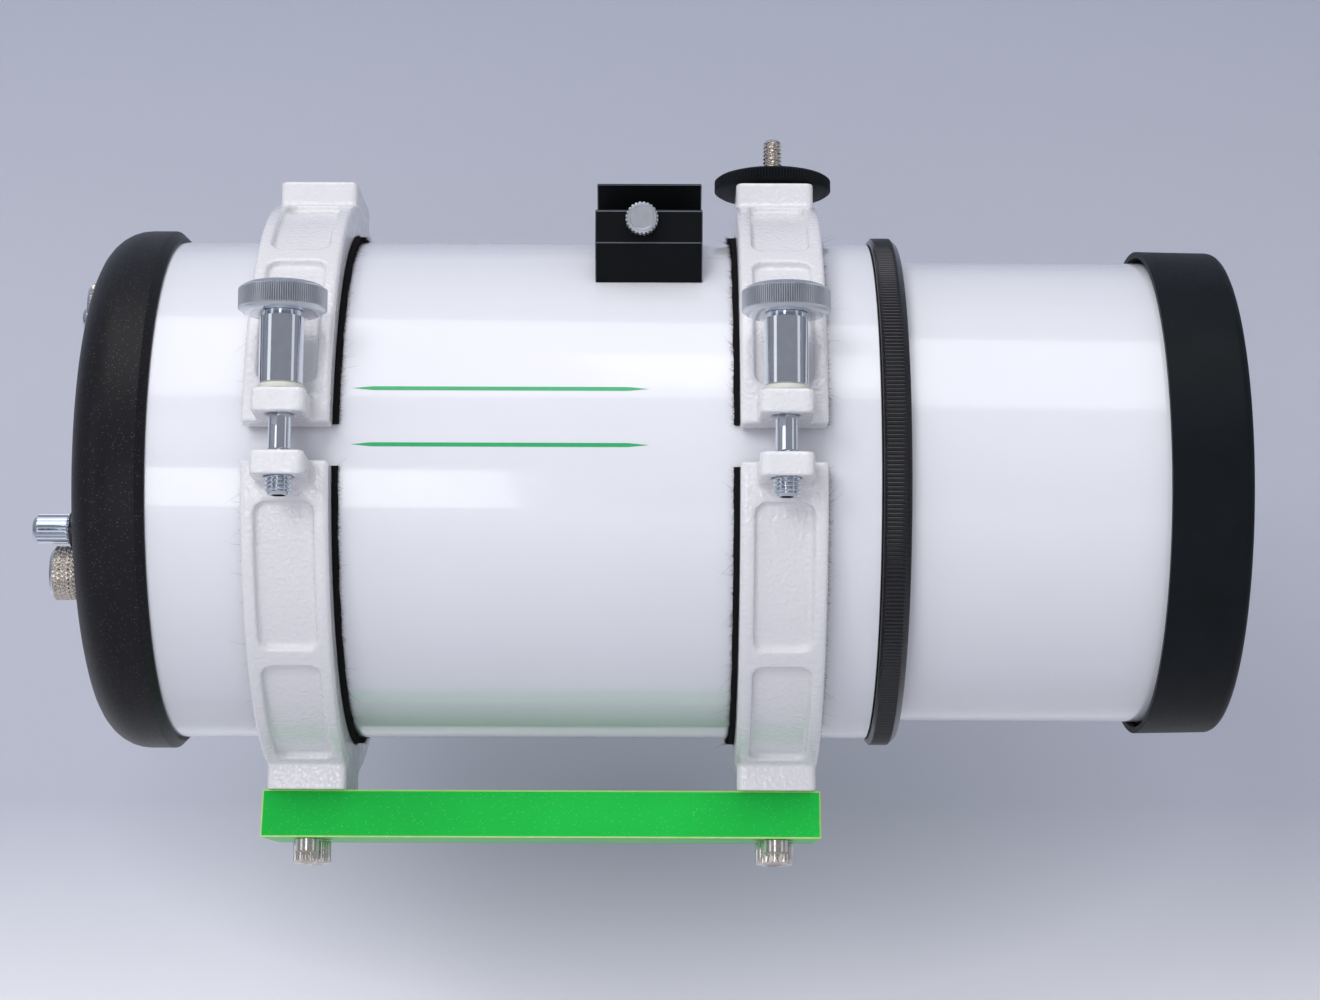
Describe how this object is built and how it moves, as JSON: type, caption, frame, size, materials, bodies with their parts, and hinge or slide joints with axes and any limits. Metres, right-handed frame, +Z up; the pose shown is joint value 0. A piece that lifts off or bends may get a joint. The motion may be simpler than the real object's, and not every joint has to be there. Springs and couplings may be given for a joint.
{
  "type": "astrograph optical tube with mounting rings",
  "caption": "Short white reflector camera tube held in two hinged rings on a green dovetail bar, with collimation knobs behind and a dust cap in front.",
  "frame": {"origin": "middle of the dovetail bar's bottom face, half way between the rings", "axes": "+X along the tube to the sky end, +Z up through the tube's axis, -Y to the side with the ring clamps"},
  "size_m": [0.3689, 0.2175, 0.2381],
  "materials": {
    "tube_white": "gloss lacquer",
    "ring_white": "gloss powder coat",
    "black_satin": "satin",
    "black_matt": "matt anodised",
    "green_anodised": "metallic anodised",
    "felt": "felt",
    "chrome": "polished",
    "steel": "machined",
    "zinc": "knurled zinc plate",
    "nickel": "knurled nickel",
    "nylon": "natural nylon",
    "glass": "coated",
    "mirror": "polished",
    "cap_plastic": "satin"
  },
  "bodies": {
    "base": {"dovetail_bar": "green_anodised", "bar_bolts": "steel", "bar_locating_screws": "chrome", "rear_ring_lower": "ring_white", "rear_felt_lower": "felt", "rear_hinge_pin": "chrome", "front_ring_lower": "ring_white", "front_felt_lower": "felt", "front_hinge_pin": "chrome"},
    "rear_upper": {"rear_ring_upper": "ring_white", "rear_felt_upper": "felt"},
    "front_upper": {"front_ring_upper": "ring_white", "front_felt_upper": "felt", "accessory_stud": "steel"},
    "rear_clamp": {"rear_clamp_washer": "nylon"},
    "rear_clamp_turn": {"rear_clamp_knob": "zinc", "rear_clamp_screw": "chrome"},
    "front_clamp": {"front_clamp_washer": "nylon"},
    "front_clamp_turn": {"front_clamp_knob": "zinc", "front_clamp_screw": "chrome"},
    "lock_disc": {"accessory_lock_disc": "black_matt"},
    "tube": {"main_tube": "tube_white", "baffle_rings": "black_matt", "finder_shoe": "black_satin", "shoe_screws": "steel", "rear_cell": "black_satin", "mirror_cell": "black_matt", "primary_mirror": "mirror", "mirror_clips": "black_matt", "cell_screws": "steel", "front_cell": "black_matt", "corrector_lens": "glass", "corrector_retainer": "black_matt", "corrector_barrel": "black_matt", "field_lens_outer": "glass", "field_lens_inner": "glass", "camera_adapter": "black_matt"},
    "shoe_screw": {"shoe_clamp_screw": "chrome"},
    "knob_1": {"collimation_knob_1": "nickel"},
    "knob_2": {"collimation_knob_2": "nickel"},
    "knob_3": {"collimation_knob_3": "nickel"},
    "lock_1": {"lock_screw_1": "chrome"},
    "lock_2": {"lock_screw_2": "chrome"},
    "lock_3": {"lock_screw_3": "chrome"},
    "dew": {"knurled_ring": "black_satin", "dew_shield": "tube_white"},
    "cap": {"dust_cap": "cap_plastic", "cap_liner": "felt"}
  },
  "joints": [
    {"name": "tube_roll", "type": "hinge", "parent": "base", "child": "tube", "pos_m": [0, 0, 0.11298], "axis": [1, 0, 0], "range_deg": [-170, 100]},
    {"name": "rear_ring_open", "type": "hinge", "parent": "base", "child": "rear_upper", "pos_m": [-0.0736, 0.09698, 0.11298], "axis": [-1, 0, 0], "range_deg": [0, 105]},
    {"name": "rear_clamp_lift", "type": "slide", "parent": "rear_upper", "child": "rear_clamp", "axis": [0, 0, 1], "range_m": [0, 0.0165]},
    {"name": "rear_clamp_turn", "type": "hinge", "parent": "rear_clamp", "child": "rear_clamp_turn", "pos_m": [-0.0736, -0.10198, 0.11298], "axis": [0, 0, 1], "range_deg": [0, 4752]},
    {"name": "front_ring_open", "type": "hinge", "parent": "base", "child": "front_upper", "pos_m": [0.0736, 0.09698, 0.11298], "axis": [-1, 0, 0], "range_deg": [0, 105]},
    {"name": "front_clamp_lift", "type": "slide", "parent": "front_upper", "child": "front_clamp", "axis": [0, 0, 1], "range_m": [0, 0.0165]},
    {"name": "front_clamp_turn", "type": "hinge", "parent": "front_clamp", "child": "front_clamp_turn", "pos_m": [0.0736, -0.10198, 0.11298], "axis": [0, 0, 1], "range_deg": [0, 4752]},
    {"name": "lock_disc_turn", "type": "hinge", "parent": "front_upper", "child": "lock_disc", "pos_m": [0.0736, 0, 0.21096], "axis": [0, 0, 1], "continuous": true},
    {"name": "shoe_screw_turn", "type": "hinge", "parent": "tube", "child": "shoe_screw", "pos_m": [0.0311, -0.06459, 0.18652], "axis": [0, -0.9977, -0.0679], "continuous": true},
    {"name": "knob_1_turn", "type": "hinge", "parent": "tube", "child": "knob_1", "pos_m": [-0.14, -0.04833, 0.07914], "axis": [1, 0, 0], "continuous": true},
    {"name": "knob_2_turn", "type": "hinge", "parent": "tube", "child": "knob_2", "pos_m": [-0.14, -0.00514, 0.17175], "axis": [1, 0, 0], "continuous": true},
    {"name": "knob_3_turn", "type": "hinge", "parent": "tube", "child": "knob_3", "pos_m": [-0.14, 0.05347, 0.08805], "axis": [1, 0, 0], "continuous": true},
    {"name": "lock_1_turn", "type": "hinge", "parent": "tube", "child": "lock_1", "pos_m": [-0.14, -0.05504, 0.09174], "axis": [1, 0, 0], "continuous": true},
    {"name": "lock_2_turn", "type": "hinge", "parent": "tube", "child": "lock_2", "pos_m": [-0.14, 0.00913, 0.17127], "axis": [1, 0, 0], "continuous": true},
    {"name": "lock_3_turn", "type": "hinge", "parent": "tube", "child": "lock_3", "pos_m": [-0.14, 0.04592, 0.07593], "axis": [1, 0, 0], "continuous": true},
    {"name": "dew_shield_turn", "type": "hinge", "parent": "tube", "child": "dew", "pos_m": [0.11, 0, 0.11298], "axis": [1, 0, 0], "continuous": true},
    {"name": "cap_slide", "type": "slide", "parent": "dew", "child": "cap", "axis": [1, 0, 0], "range_m": [0, 0.08]}
  ],
  "couplings": [
    {"joint": "rear_clamp_lift", "follows": "rear_clamp_turn", "m_per_rad": 0.00019894},
    {"joint": "front_clamp_lift", "follows": "front_clamp_turn", "m_per_rad": 0.00019894}
  ]
}
